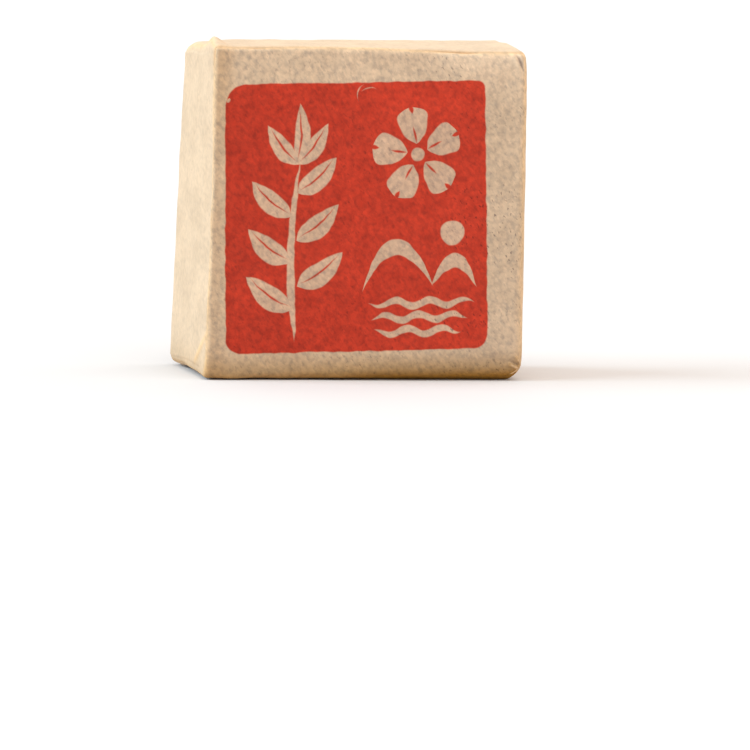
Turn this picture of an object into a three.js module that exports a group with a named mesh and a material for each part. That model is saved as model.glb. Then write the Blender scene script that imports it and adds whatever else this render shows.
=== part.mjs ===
// A small square brick of pressed tea, shut in thin paper and standing on its lower edge.
// Millimetres. +Z is up and the printed face looks along -Y.
// The origin is at the middle of the foot, under the middle of the brick.
import * as THREE from 'three';
import { mergeVertices } from 'three/addons/utils/BufferGeometryUtils.js';

// Driving sizes, measured over the paper
const WIDTH = 56.4;
const HEIGHT = 56.4;
const FOOT_DEPTH = 21.6;
const TOP_DEPTH = 17.9;

// Each corner of the brick: which corner it is (left or right, front or back, foot or top),
// how far it has strayed from the true block, and how round the paper runs over it.
const THINNING = FOOT_DEPTH - TOP_DEPTH;
const CORNERS = [
  { at: [-1, -1, -1], shift: [0.5, 0, 0], radius: 0.9 },
  { at: [1, -1, -1], shift: [1.95, 0, 0], radius: 2.6 },
  { at: [-1, 1, -1], shift: [-0.6, 0, 0], radius: 1.6 },
  { at: [1, 1, -1], shift: [0.9, 0, 0], radius: 2.0 },
  { at: [-1, -1, 1], shift: [-0.1, 0, 0], radius: 0.9 },
  { at: [1, -1, 1], shift: [-0.4, 0, 0.6], radius: 1.2 },
  { at: [-1, 1, 1], shift: [-0.9, -THINNING, 0.5], radius: 2.6 },
  { at: [1, 1, 1], shift: [0.3, -THINNING, 1.75], radius: 1.4 },
];

// The front sheet runs round each narrow end as a flap and ends as a tail on the back.
// Its slanting edges leave the paper folded in first, above and below it, a step lower.
// Insets are how far the slanting edges lie in from the top and the foot: at the back edge of
// the left and right ends, and where the tails meet on the back. On the left end the step shows
// only as a small share of the whole.
const STEP = 0.55;
const LEFT_STEP_SHARE = 0.2;
const CUT_EDGE = 0.3;
const FLAP_START = 1.6;
const FLAP_RUN_IN = 0.3;
const TOP_INSETS = { left: 1.5, right: 8.4, meeting: 11 };
const FOOT_INSETS = { left: 1.2, right: 6.4, meeting: 9.5 };
const RIGHT_TAIL_END = -7;
const LEFT_TAIL_END = 3;
const TAIL_FADE = 2;
const OVERLAP = 0.3;
const OVERLAP_LIFT = 0.6;
const END_PUFF = 0.35;

// The pressed leaf under the paper lies in shallow swells: height, turns across, turns up, start
const SWELLS = [
  [0.1, 0.21, 0.13, 0.4],
  [0.07, -0.11, 0.32, 1.9],
  [0.05, 0.45, 0.07, 3.1],
];

// The brick rests on a flat spot of the foot, which stands out a little. Its edge slopes up
// between these distances in from the foot's edges.
const REST_DROP = 0.25;
const REST_SLOPE_START = 1.5;
const REST_SLOPE_END = 2.7;

// The left end sinks along the middle of the printed face: how deep, at what height, and how far
// that reaches up and down and back
const WAIST = { depth: 0.7, height: 30, reachUp: 15, reachBack: 5 };

// The printed face leans back towards the top, right of the middle
const BROW = { depth: 1.1, from: 6, run: 8, foot: 52 };

// Ears of spare paper, and places where an edge has risen or sunk: the corner or edge, how far in
// from there the middle lies, the lift there, and how far it reaches each way
const BUMPS = [
  { at: [-1, -1, 1], inward: [0.85, 4.2, 0], lift: [0, 0, 1.65], reach: [2.0, 2.8, 2.0] },
  { at: [-1, -1, -1], inward: [0, 0, 0], lift: [-0.3, -0.3, 0], reach: [2.6, 2.6, 2.6] },
  { at: [1, -1, -1], inward: [0, 0, 0], lift: [0.25, -0.2, 0], reach: [2.2, 2.2, 2.2] },
  { at: [-1, 1, 1], inward: [0, -1, 0], lift: [0, 0, -0.5], reach: [5, 4, 5] },
  { at: [1, 0, 1], inward: [0, -2, 0], lift: [0, 0, 0.45], reach: [6, 7, 6] },
  { at: [0, -1, 1], inward: [-8, 0, 0], lift: [0, 0, 0.5], reach: [20, 5, 3.5] },
];

// Spacing of the facets
const FACET = 2.7;
const EDGE_LINES = [0, 0.35, 0.8, REST_SLOPE_START, REST_SLOPE_END];
const FOLD_LINES = 4;
const FLAP_LINES = [2.3, 3.2];

const clamp = (value, low, high) => Math.min(Math.max(value, low), high);
const mix = (from, to, share) => from + (to - from) * share;
const ramp = (value, start, end) => clamp((value - start) / (end - start), 0, 1);
const bell = (distance, reach) => Math.exp(-((distance / reach) ** 2));

// Straight line through a short list of [input, output] points
function follow(points, value) {
  for (let i = 1; i < points.length; i += 1) {
    const [x0, y0] = points[i - 1];
    const [x1, y1] = points[i];
    if (value <= x1 || i === points.length - 1) {
      return mix(y0, y1, (value - x0) / (x1 - x0));
    }
  }
  return value;
}

// Sums a property of the eight corners, shared out by nearness
function blendCorners(a, b, c, property) {
  let total = 0;
  for (const corner of CORNERS) {
    const [i, j, k] = corner.at;
    total += property(corner) * (1 + i * a) * (1 + j * b) * (1 + k * c) / 8;
  }
  return total;
}

// How far the flap's slanting edge lies in from the top or foot, by place round the brick
function flapInset(a, b, insets) {
  const meeting = 2 * RIGHT_TAIL_END / WIDTH;
  const overBack = follow([[-1, insets.left], [meeting, insets.meeting], [1, insets.right]], a);
  return mix(FLAP_START, overBack, ramp(b, -1, 1));
}

// A level runs parallel to the flap's edges, so a level's height changes round the brick
function levelHeight(level, a, b) {
  const foot = flapInset(a, b, FOOT_INSETS);
  const top = flapInset(a, b, TOP_INSETS);
  return follow([
    [0, 0],
    [FLAP_START - CUT_EDGE, foot - CUT_EDGE],
    [FLAP_START, foot],
    [HEIGHT - FLAP_START, HEIGHT - top],
    [HEIGHT - FLAP_START + CUT_EDGE, HEIGHT - top + CUT_EDGE],
    [HEIGHT, HEIGHT],
  ], level);
}

// 0 on the flap, 1 on the paper folded in under it
function underFlap(level) {
  const below = 1 - ramp(level, FLAP_START - CUT_EDGE, FLAP_START);
  const above = ramp(level, HEIGHT - FLAP_START, HEIGHT - FLAP_START + CUT_EDGE);
  return Math.max(below, above);
}

// Relief of the narrow ends: the flap puffs out a little, and the folded-in paper lies lower
function endRelief(a, b, level, height) {
  const up = 2 * level / HEIGHT - 1;
  const puff = END_PUFF * (1 - b * b) * (1 - up * up);
  const step = STEP * (a < 0 ? LEFT_STEP_SHARE : 1);
  const fromFace = (b + 1) * FOOT_DEPTH / 2;
  const waist = bell(height - WAIST.height, WAIST.reachUp) * bell(fromFace, WAIST.reachBack);
  return puff - step * underFlap(level) * ramp(b, -1, -1 + 2 * FLAP_RUN_IN)
    - (a < 0 ? WAIST.depth * waist : 0);
}

// Relief of the back: the right tail lies over the left one, and both over the folded-in paper
function backRelief(x, level) {
  const rightTail = ramp(x, RIGHT_TAIL_END - CUT_EDGE, RIGHT_TAIL_END);
  const pastLeftTail = ramp(x, LEFT_TAIL_END, LEFT_TAIL_END + TAIL_FADE);
  const tails = OVERLAP * rightTail * mix(1, OVERLAP_LIFT, pastLeftTail);
  return mix(tails, -STEP, underFlap(level));
}

// Relief of the printed face
function frontRelief(x, z) {
  let swell = 0;
  for (const [height, across, up, start] of SWELLS) {
    swell += height * Math.sin(across * x + up * z + start);
  }
  return swell;
}

// Relief of the foot: the flat spot that the brick rests on
function footRelief(x, y) {
  const fromEnd = WIDTH / 2 - Math.abs(x);
  const fromFace = FOOT_DEPTH / 2 - Math.abs(y);
  return REST_DROP * ramp(Math.min(fromEnd, fromFace), REST_SLOPE_START, REST_SLOPE_END);
}

// Where a point of the block's skin lies on the wrapped brick.
// a and b run from -1 to 1 across and through the brick, level from 0 to HEIGHT.
function wrapPoint(a, b, level) {
  const c = 2 * level / HEIGHT - 1;
  const half = new THREE.Vector3(WIDTH / 2, FOOT_DEPTH / 2, HEIGHT / 2);
  const middle = new THREE.Vector3(0, 0, HEIGHT / 2);
  const skin = new THREE.Vector3(a * half.x, b * half.y, levelHeight(level, a, b));
  const radius = blendCorners(a, b, c, (corner) => corner.radius);
  const inner = half.clone().subScalar(radius);
  const core = skin.clone().clamp(middle.clone().sub(inner), middle.clone().add(inner));
  const normal = skin.clone().sub(core).normalize();
  const point = core.addScaledVector(normal, radius);

  const behind = normal.y > 0 ? backRelief(skin.x, level) : frontRelief(skin.x, skin.z);
  const below = normal.z < 0 ? footRelief(skin.x, skin.y) : 0;
  const relief = normal.x ** 2 * endRelief(a, b, level, skin.z) + normal.y ** 2 * behind
    + normal.z ** 2 * below;
  point.addScaledVector(normal, relief);

  const up = 2 * skin.z / HEIGHT - 1;
  point.x += blendCorners(a, b, up, (corner) => corner.shift[0]);
  point.y += blendCorners(a, b, up, (corner) => corner.shift[1]);
  point.z += blendCorners(a, b, up, (corner) => corner.shift[2]);

  for (const bump of BUMPS) {
    const [x, y, z] = new THREE.Vector3(...bump.at).multiply(half).add(middle).toArray();
    const [inX, inY, inZ] = bump.inward;
    const nearness = bell(skin.x - x - inX, bump.reach[0]) * bell(skin.y - y - inY, bump.reach[1])
      * bell(skin.z - z - inZ, bump.reach[2]);
    point.addScaledVector(new THREE.Vector3(...bump.lift), nearness);
  }
  const lean = ramp(skin.x, BROW.from, BROW.from + BROW.run)
    * ramp(skin.z, BROW.foot, HEIGHT) ** 2;
  point.y += BROW.depth * lean * (1 - ramp(b, -1, 0));
  return point;
}

// Lines across a length: close together near both ends, even between, with extra ones added
function spread(length, edgeLines, extra) {
  const last = edgeLines[edgeLines.length - 1];
  const cells = Math.round((length - 2 * last) / FACET);
  const lines = [...edgeLines, ...edgeLines.map((line) => length - line), ...extra];
  for (let i = 1; i < cells; i += 1) {
    const line = mix(last, length - last, i / cells);
    if (extra.every((other) => Math.abs(other - line) > FACET / 3)) {
      lines.push(line);
    }
  }
  return lines.sort((first, second) => first - second);
}

// The levels also close up round the flap's edges, which are a cut edge apart
function levelLines() {
  const below = [];
  for (let i = 0; i < FOLD_LINES; i += 1) {
    below.push(mix(0, FLAP_START - CUT_EDGE, i / FOLD_LINES));
  }
  return spread(HEIGHT, [...below, FLAP_START - CUT_EDGE, FLAP_START, ...FLAP_LINES], []);
}

// One rectangular patch of the skin, from two lists of lines and a rule that places them
function addPatch(positions, across, up, place, flipped) {
  for (let i = 1; i < across.length; i += 1) {
    for (let j = 1; j < up.length; j += 1) {
      const p00 = place(across[i - 1], up[j - 1]);
      const p10 = place(across[i], up[j - 1]);
      const p11 = place(across[i], up[j]);
      const p01 = place(across[i - 1], up[j]);
      const ring = flipped ? [p00, p01, p11, p10] : [p00, p10, p11, p01];
      for (const corner of [0, 1, 2, 0, 2, 3]) {
        positions.push(...ring[corner].toArray());
      }
    }
  }
}

// The closed skin of the wrapped brick, moved so that its box stands on the origin
function wrappedBrickGeometry() {
  const rightTailLines = [RIGHT_TAIL_END - CUT_EDGE, RIGHT_TAIL_END];
  const leftTailLines = [LEFT_TAIL_END, LEFT_TAIL_END + TAIL_FADE];
  const tailLines = [...rightTailLines, ...leftTailLines].map((x) => x + WIDTH / 2);
  const columns = spread(WIDTH, EDGE_LINES, tailLines);
  const across = columns.map((x) => 2 * x / WIDTH - 1);
  const through = spread(FOOT_DEPTH, EDGE_LINES, []).map((y) => 2 * y / FOOT_DEPTH - 1);
  const up = levelLines();

  const positions = [];
  addPatch(positions, across, up, (a, level) => wrapPoint(a, -1, level), false);
  addPatch(positions, across, up, (a, level) => wrapPoint(a, 1, level), true);
  addPatch(positions, through, up, (b, level) => wrapPoint(-1, b, level), true);
  addPatch(positions, through, up, (b, level) => wrapPoint(1, b, level), false);
  addPatch(positions, across, through, (a, b) => wrapPoint(a, b, 0), true);
  addPatch(positions, across, through, (a, b) => wrapPoint(a, b, HEIGHT), false);

  const skin = new THREE.BufferGeometry();
  skin.setAttribute('position', new THREE.Float32BufferAttribute(positions, 3));
  const geometry = mergeVertices(skin, 1e-4);
  geometry.computeBoundingBox();
  const box = geometry.boundingBox;
  geometry.translate(-(box.min.x + box.max.x) / 2, -(box.min.y + box.max.y) / 2, -box.min.z);
  geometry.computeVertexNormals();
  return geometry;
}

// The paper of the wrapper, a pale tan
const paper = new THREE.MeshStandardMaterial({ color: 0xd9bd97, roughness: 0.9, metalness: 0 });

const wrappedBrick = new THREE.Mesh(wrappedBrickGeometry(), paper);
wrappedBrick.name = 'wrapped_tea_brick';

const group = new THREE.Group();
group.add(wrappedBrick);

export default group;
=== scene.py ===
"""A small square brick of pressed tea, shut in thin tan paper with a red square on its face.

The paper is worked out in millimetres on the unfolded block, with the printed face towards -Y,
and goes into the scene in metres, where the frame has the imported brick.
"""

import logging
import math
from dataclasses import dataclass, field, replace
from enum import Enum
from functools import reduce

import bpy
import numpy as np
from mathutils import Matrix, Vector


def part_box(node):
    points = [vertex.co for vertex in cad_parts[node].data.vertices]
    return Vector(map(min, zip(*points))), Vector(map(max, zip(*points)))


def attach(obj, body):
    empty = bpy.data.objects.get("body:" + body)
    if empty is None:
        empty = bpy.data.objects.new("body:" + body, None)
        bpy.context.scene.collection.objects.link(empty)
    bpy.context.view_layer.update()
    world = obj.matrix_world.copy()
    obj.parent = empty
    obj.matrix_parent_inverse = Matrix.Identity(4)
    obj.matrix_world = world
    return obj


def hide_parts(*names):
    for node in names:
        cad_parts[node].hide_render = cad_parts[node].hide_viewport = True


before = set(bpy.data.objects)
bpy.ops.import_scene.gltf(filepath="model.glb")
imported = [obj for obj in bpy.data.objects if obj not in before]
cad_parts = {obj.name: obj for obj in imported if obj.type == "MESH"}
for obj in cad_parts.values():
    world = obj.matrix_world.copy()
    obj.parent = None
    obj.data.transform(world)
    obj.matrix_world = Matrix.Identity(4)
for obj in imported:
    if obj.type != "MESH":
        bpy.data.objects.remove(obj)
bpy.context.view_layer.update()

LOG = logging.getLogger("tea_brick")
NODE = "wrapped_tea_brick"
BODY = "root"
MM = 0.001


def ramp(value: np.ndarray, start: float, end: float) -> np.ndarray:
    """A straight climb from 0 at start to 1 at end."""
    return np.clip((value - start) / (end - start), 0.0, 1.0)


def ease(value: np.ndarray, start: float, end: float) -> np.ndarray:
    """A soft climb from 0 at start to 1 at end."""
    share = ramp(value, start, end)
    return share * share * (3.0 - 2.0 * share)


def mix(low: np.ndarray, high: np.ndarray, share: np.ndarray) -> np.ndarray:
    """Low where share is 0, high where it is 1."""
    return low + (high - low) * share


@dataclass(frozen=True)
class Corner:
    """One corner of the brick.

    at tells which corner it is, by sign; shift is how far it has strayed from the true block and
    radius how round the paper runs over it, both in millimetres.
    """

    at: tuple[int, int, int]
    shift: tuple[float, float, float]
    radius: float


@dataclass(frozen=True)
class Bump:
    """An ear of spare paper, or a soft dent, near a corner or an edge, in millimetres.

    at tells which corner or edge, by sign, and inward where the middle lies from there.
    """

    at: tuple[int, int, int]
    inward: tuple[float, float, float]
    lift: tuple[float, float, float]
    reach: tuple[float, float, float]


@dataclass(frozen=True)
class Crease:
    """A ridge, or with a height below 0 a groove, between two places on the unfolded sheet."""

    start: tuple[float, float]
    end: tuple[float, float]
    height: float
    width: float
    end_fade: float = 0.75
    full_part: float = 0.1

    def relief(self, sheet: np.ndarray) -> np.ndarray:
        """How far the crease lifts the paper.

        Args:
            sheet: places on the unfolded sheet, in millimetres.

        Returns:
            The lift at each place, in millimetres.
        """
        start = np.array(self.start)
        run = np.array(self.end) - start
        length = float(np.hypot(*run))
        offset = sheet - start
        along = offset @ run / length**2
        aside = (offset[..., 0] * run[1] - offset[..., 1] * run[0]) / length
        beyond = np.maximum(np.abs(along - 0.5) - 0.5, 0.0) * length
        distance = np.hypot(aside, beyond)
        fade = 1.0 - self.end_fade * ramp(np.abs(along - 0.5), self.full_part, 0.5) ** 2
        return self.height * fade * np.exp(-((distance / self.width) ** 2))


@dataclass(frozen=True)
class Ripples:
    """Gentle unevenness made of waves in every direction, the same on each run."""

    seed: int
    height: float
    shortest: float
    longest: float
    count: int = 22

    def at(self, points: np.ndarray) -> np.ndarray:
        """The height of the ripples.

        Args:
            points: places in millimetres.

        Returns:
            The height at each place, in millimetres.
        """
        draw = np.random.default_rng(self.seed)
        total = np.zeros(points.shape[:-1])
        for _ in range(self.count):
            way = draw.normal(size=3)
            way *= 2.0 * math.pi / np.linalg.norm(way) / draw.uniform(self.shortest, self.longest)
            total += np.sin(points @ way + draw.uniform(0.0, 2.0 * math.pi))
        return self.height * total / math.sqrt(self.count / 2.0)


class Side(Enum):
    """The narrow end that a flap covers."""

    LEFT = -1
    RIGHT = 1


@dataclass(frozen=True)
class BrickForm:
    """The wrapped block: its sizes, corners, swells and folds, in millimetres."""

    width: float = 56.4
    height: float = 56.4
    depth: float = 21.6
    thinning: float = 3.7
    puff: float = 0.35
    waist: tuple[float, float, float, float] = (0.7, 30.0, 15.0, 5.0)
    folded_in: tuple[float, float] = (0.12, 0.55)
    under_flap: float = 0.32
    flap_start: float = 1.6
    rest_drop: float = 0.25
    rest_slope: tuple[float, float] = (1.5, 2.7)
    flap_emerges: tuple[float, float] = (1.4, 4.6)
    top_insets: tuple[float, float, float] = (1.5, 11.0, 8.4)
    foot_insets: tuple[float, float, float] = (1.2, 9.5, 6.4)
    brow_depth: float = 1.1
    brow_start: tuple[float, float] = (6.0, 52.0)
    brow_run: float = 8.0
    meeting: float = -7.0
    step: tuple[float, float] = (0.3, 1.8)
    fold_crumple: float = 2.0
    sharp_crease: float = 0.15
    crease_light_gain: float = 3.5
    swells: tuple[tuple[float, float, float, float], ...] = (
        (0.1, 0.21, 0.13, 0.4),
        (0.07, -0.11, 0.32, 1.9),
        (0.05, 0.45, 0.07, 3.1),
    )
    lumps: Ripples = Ripples(seed=7, height=0.03, shortest=3.0, longest=9.0)
    edge_lumps: Ripples = Ripples(seed=12, height=0.09, shortest=5.0, longest=14.0)
    creases: tuple[Crease, ...] = field(
        default=(
            Crease((25.0, 2.85), (27.6, 1.5), 0.3, 0.26),
            Crease((25.9, 4.1), (28.6, 2.4), 0.24, 0.26),
            Crease((25.4, 3.4), (27.9, 2.15), -0.22, 0.24),
            Crease((25.6, 0.1), (28.6, 1.2), 0.24, 0.26),
            Crease((26.4, 56.0), (27.6, 53.0), -0.36, 0.26),
            Crease((25.6, 56.2), (26.9, 52.6), 0.14, 0.4),
            Crease((-28.4, 7.5), (-34.5, 1.6), 0.22, 0.5),
            Crease((31.4, 6.4), (35.4, 2.2), 0.3, 0.55),
            Crease((29.0, 50.5), (36.5, 47.0), 0.16, 0.6),
            Crease((-31.5, 22.0), (-33.0, 44.0), 0.07, 0.7),
            Crease((-40.0, 8.0), (-41.5, 33.0), -0.07, 0.9),
        )
    )

    @property
    def corners(self) -> tuple[Corner, ...]:
        """The corners, of which the back's upper ones lean forward by the thinning.

        Returns:
            The eight corners.
        """
        lean = -self.thinning
        return (
            Corner((-1, -1, -1), (0.5, 0.0, 0.0), 0.9),
            Corner((1, -1, -1), (1.95, 0.0, 0.0), 2.6),
            Corner((-1, 1, -1), (-0.6, 0.0, 0.0), 1.6),
            Corner((1, 1, -1), (0.9, 0.0, 0.0), 2.0),
            Corner((-1, -1, 1), (-0.1, 0.0, 0.0), 0.9),
            Corner((1, -1, 1), (-0.4, 0.0, 0.6), 1.2),
            Corner((-1, 1, 1), (-0.9, lean, 0.5), 2.6),
            Corner((1, 1, 1), (0.3, lean, 1.75), 1.4),
        )

    @property
    def bumps(self) -> tuple[Bump, ...]:
        """The ears of spare paper, and where edges have risen or sunk.

        Returns:
            The bumps and hollows.
        """
        return (
            Bump((-1, -1, 1), (0.85, 4.2, 0.0), (0.0, 0.0, 1.5), (1.8, 2.7, 2.0)),
            Bump((-1, -1, -1), (0.0, 0.0, 0.0), (-0.3, -0.3, 0.0), (2.6, 2.6, 2.6)),
            Bump((1, -1, -1), (0.0, 0.0, 0.0), (-0.4, -0.1, 0.4), (2.4, 2.4, 2.4)),
            Bump((-1, 1, 1), (0.0, -1.0, 0.0), (0.0, 0.0, -0.5), (5.0, 4.0, 5.0)),
            Bump((1, 0, 1), (0.0, -2.0, 0.0), (0.0, 0.0, 0.45), (6.0, 7.0, 6.0)),
            Bump((0, -1, 1), (-8.0, 0.0, 0.0), (0.0, 0.0, 0.5), (20.0, 5.0, 3.5)),
            Bump((-1, 0, -1), (0.0, 0.0, 0.0), (0.0, 0.0, 0.5), (6.0, 6.0, 4.0)),
        )

    @property
    def half(self) -> np.ndarray:
        """Half the block's width, depth and height."""
        return np.array([self.width, self.depth, self.height]) / 2.0

    @property
    def middle(self) -> np.ndarray:
        """The middle of the block."""
        return np.array([0.0, 0.0, self.height / 2.0])

    def shares(self, a: np.ndarray, b: np.ndarray, c: np.ndarray) -> list[np.ndarray]:
        """How much each corner counts at a place from -1 to 1 across, through and up."""
        return [
            (1 + i * a) * (1 + j * b) * (1 + k * c) / 8
            for i, j, k in (corner.at for corner in self.corners)
        ]

    def inset(self, a: np.ndarray, b: np.ndarray, insets: tuple[float, float, float]) -> np.ndarray:
        """How far a flap's slanting edge lies in from the top or the foot.

        Args:
            a: place across the brick, from -1 to 1.
            b: place through the brick, from -1 at the printed face to 1 at the back.
            insets: at the back edge of the left end, where the tails meet, and of the right end.

        Returns:
            The inset in millimetres.
        """
        left, meeting, right = insets
        over_back = np.interp(a, [-1.0, 2.0 * self.meeting / self.width, 1.0], [left, meeting, right])
        return mix(self.flap_start, over_back, ramp(b, -1.0, 1.0))

    def block(self, a: np.ndarray, b: np.ndarray, z: np.ndarray) -> tuple[np.ndarray, ...]:
        """The round-edged block before any relief.

        Args:
            a: place across, from -1 to 1.
            b: place through, from -1 to 1.
            z: height, in millimetres.

        Returns:
            The skin of the true block, the point on the round-edged one, and the way out.
        """
        skin = np.stack([a * self.width / 2, b * self.depth / 2, z], axis=-1)
        shares = self.shares(a, b, 2 * z / self.height - 1)
        radius = sum(share * corner.radius for share, corner in zip(shares, self.corners))
        inner = self.half - radius[..., None]
        core = np.clip(skin, self.middle - inner, self.middle + inner)
        out = skin - core
        out /= np.linalg.norm(out, axis=-1, keepdims=True)
        return skin, core + radius[..., None] * out, out

    def settle(self, skin: np.ndarray, point: np.ndarray) -> np.ndarray:
        """Moves points as the corners and edges have strayed, and leans the face's upper right.

        Args:
            skin: where the points lie on the true block.
            point: the points on the round-edged block.

        Returns:
            The points on the brick as it is.
        """
        a, b = skin[..., 0] / self.half[0], skin[..., 1] / self.half[1]
        shares = self.shares(a, b, 2 * skin[..., 2] / self.height - 1)
        placed = point.copy()
        for share, corner in zip(shares, self.corners):
            placed += share[..., None] * np.array(corner.shift)
        for bump in self.bumps:
            tip = self.middle + self.half * np.array(bump.at) + np.array(bump.inward)
            near = np.exp(-np.sum(((skin - tip) / np.array(bump.reach)) ** 2, axis=-1))
            placed += near[..., None] * np.array(bump.lift)
        right, low = self.brow_start
        leaning = ease(skin[..., 0], right, right + self.brow_run)
        brow = leaning * ramp(skin[..., 2], low, self.height) ** 2
        placed[..., 1] += self.brow_depth * brow * (1 - ramp(b, -1.0, 0.0))
        return placed

    def swell(self, x: np.ndarray, z: np.ndarray) -> np.ndarray:
        """Shallow swells of the printed face over the pressed leaf."""
        return sum(h * np.sin(p * x + q * z + start) for h, p, q, start in self.swells)

    def end_puff(self, a: np.ndarray, b: np.ndarray, z: np.ndarray) -> np.ndarray:
        """How far the narrow ends bulge, and the left one sinks along the printed face.

        Args:
            a: place across, from -1 to 1.
            b: place through, from -1 to 1.
            z: height, in millimetres.

        Returns:
            The relief in millimetres.
        """
        up = 2 * z / self.height - 1
        sunk, height, reach_z, reach_y = self.waist
        from_face = (b + 1) * self.depth / 2
        near = np.exp(-(((z - height) / reach_z) ** 2) - (from_face / reach_y) ** 2)
        return self.puff * (1 - b * b) * (1 - up * up) - sunk * near * (a < 0)

    def beyond_flap(self, a: np.ndarray, b: np.ndarray, z: np.ndarray) -> np.ndarray:
        """Where the paper folded in first shows, above and below the flaps.

        Args:
            a: place across, from -1 to 1.
            b: place through, from -1 to 1.
            z: height, in millimetres.

        Returns:
            1 where it shows and 0 under the flaps.
        """
        near, far = self.step
        foot = self.inset(a, b, self.foot_insets)
        top = self.height - self.inset(a, b, self.top_insets)
        return np.maximum(1 - ease(z, foot + near, foot + far), ease(z, top - far, top - near))

    def crumple(self, sheet: np.ndarray, skin: np.ndarray, out: np.ndarray) -> np.ndarray:
        """Creases, fine lumps of the leaf under the paper, and stronger lumps along folds.

        Args:
            sheet: places on the unfolded sheet.
            skin: places on the true block.
            out: the way out at each place.

        Returns:
            The relief in millimetres.
        """
        creased = sum(crease.relief(sheet) for crease in self.creases)
        fold = self.fold_crumple * (1 - (out**2).max(axis=-1))
        return self.lumps.at(skin) + creased + fold * self.edge_lumps.at(skin)

    def painted_light_mask(self, out: np.ndarray, sheet: np.ndarray) -> np.ndarray:
        """A mask for the painted highlight along folds and ridges and the painted shade in sharp grooves.

        Args:
            out: the way out at each place.
            sheet: places on the unfolded sheet.

        Returns:
            Up to 0.5 on folds, 1 on sharp ridges, and -1 in sharp grooves.
        """
        fold = 1.0 - (out**2).max(axis=-1)
        sharp = [crease for crease in self.creases if abs(crease.height) > self.sharp_crease]
        return np.clip(fold + self.crease_light_gain * sum(c.relief(sheet) for c in sharp), -1.0, 1.0)


@dataclass
class Patch:
    """A grid of points, with each one's place on the sheet and in the bake's layout."""

    points: np.ndarray
    sheet: np.ndarray
    bake: np.ndarray
    fold: np.ndarray
    flipped: bool = False


@dataclass(frozen=True)
class Area:
    """A rectangle of the bake's layout, from 0 to 1 each way."""

    left: float
    low: float
    wide: float
    high: float

    def spread(self, across: np.ndarray, up: np.ndarray) -> np.ndarray:
        """Lays two grids out over the rectangle, each from its least to its greatest value.

        Args:
            across: a grid of places across.
            up: a grid of places up.

        Returns:
            The places in the layout.
        """
        parts = []
        for grid, start, size in ((across, self.left, self.wide), (up, self.low, self.high)):
            least, most = grid.min(), grid.max()
            parts.append(start + size * (grid - least) / (most - least))
        return np.stack(parts, axis=-1)


def spread_lines(length: float, fine: float, fine_reach: float, coarse: float) -> np.ndarray:
    """Lines across a length, close together near both ends.

    Args:
        length: the whole length.
        fine: the spacing near the ends.
        fine_reach: how far in from each end it is fine.
        coarse: the spacing in between.

    Returns:
        The places of the lines, from 0 to length.
    """
    near = np.linspace(0.0, fine_reach, round(fine_reach / fine) + 1)
    cells = round((length - 2 * fine_reach) / coarse)
    between = np.linspace(fine_reach, length - fine_reach, cells + 1)
    return np.concatenate([near[:-1], between, (length - near[::-1])[1:]])


@dataclass
class PaperPiece:
    """A closed mesh of paper, put together from patches whose borders meet.

    offset is the move from the form's place to the frame's, in millimetres.
    """

    name: str
    patches: list[Patch]
    offset: np.ndarray
    weld_digits: int = 5
    sharp_angle: float = 55.0

    def faces(self) -> np.ndarray:
        """The four corners of each face, counted through the points of all patches.

        Returns:
            One row of four numbers for each face.
        """
        faces = []
        start = 0
        for patch in self.patches:
            rows, columns = patch.points.shape[:2]
            index = np.arange(rows * columns).reshape(rows, columns) + start
            ring = [index[:-1, :-1], index[1:, :-1], index[1:, 1:], index[:-1, 1:]]
            faces.append(np.stack(ring[::-1] if patch.flipped else ring, axis=-1).reshape(-1, 4))
            start += rows * columns
        return np.concatenate(faces)

    def build(self) -> bpy.types.Object:
        """Welds the patches into one mesh, with its two layouts and its mask for painted light on folds
        and creases.

        Returns:
            The piece's object.
        """
        points = np.concatenate([patch.points.reshape(-1, 3) for patch in self.patches])
        corners = self.faces()
        _, first, welded = np.unique(
            np.round(points, self.weld_digits), axis=0, return_index=True, return_inverse=True
        )
        mesh = bpy.data.meshes.new(self.name)
        places = (points[first] + self.offset) * MM
        mesh.from_pydata(places, [], welded.reshape(-1)[corners])
        layouts = {
            "OFBake": [patch.bake for patch in self.patches],
            "Sheet": [patch.sheet for patch in self.patches],
        }
        for layer, grids in layouts.items():
            every = np.concatenate([grid.reshape(-1, 2) for grid in grids])
            loops = every[corners.reshape(-1)].astype(np.float32)
            mesh.uv_layers.new(name=layer).data.foreach_set("uv", loops.ravel())
        # The fold mask, which places painted highlights on folds and ridges and painted shade in grooves.
        painted_light_and_marks = np.concatenate([patch.fold.reshape(-1) for patch in self.patches])
        fold = mesh.attributes.new("fold", "FLOAT", "POINT")
        fold.data.foreach_set("value", painted_light_and_marks[first].astype(np.float32))
        mesh.validate()
        mesh.shade_smooth()
        mesh.set_sharp_from_angle(angle=math.radians(self.sharp_angle))
        piece = bpy.data.objects.new(self.name, mesh)
        bpy.context.scene.collection.objects.link(piece)
        return piece

    def make(self, material: bpy.types.Material) -> None:
        """Builds the piece, gives it its material and its body, and hides the imported brick.

        Args:
            material: the paper.
        """
        piece = self.build()
        piece.data.materials.append(material)
        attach(piece, BODY)
        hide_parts(NODE)
        LOG.info("%s: %d faces", self.name, len(piece.data.polygons))


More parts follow.
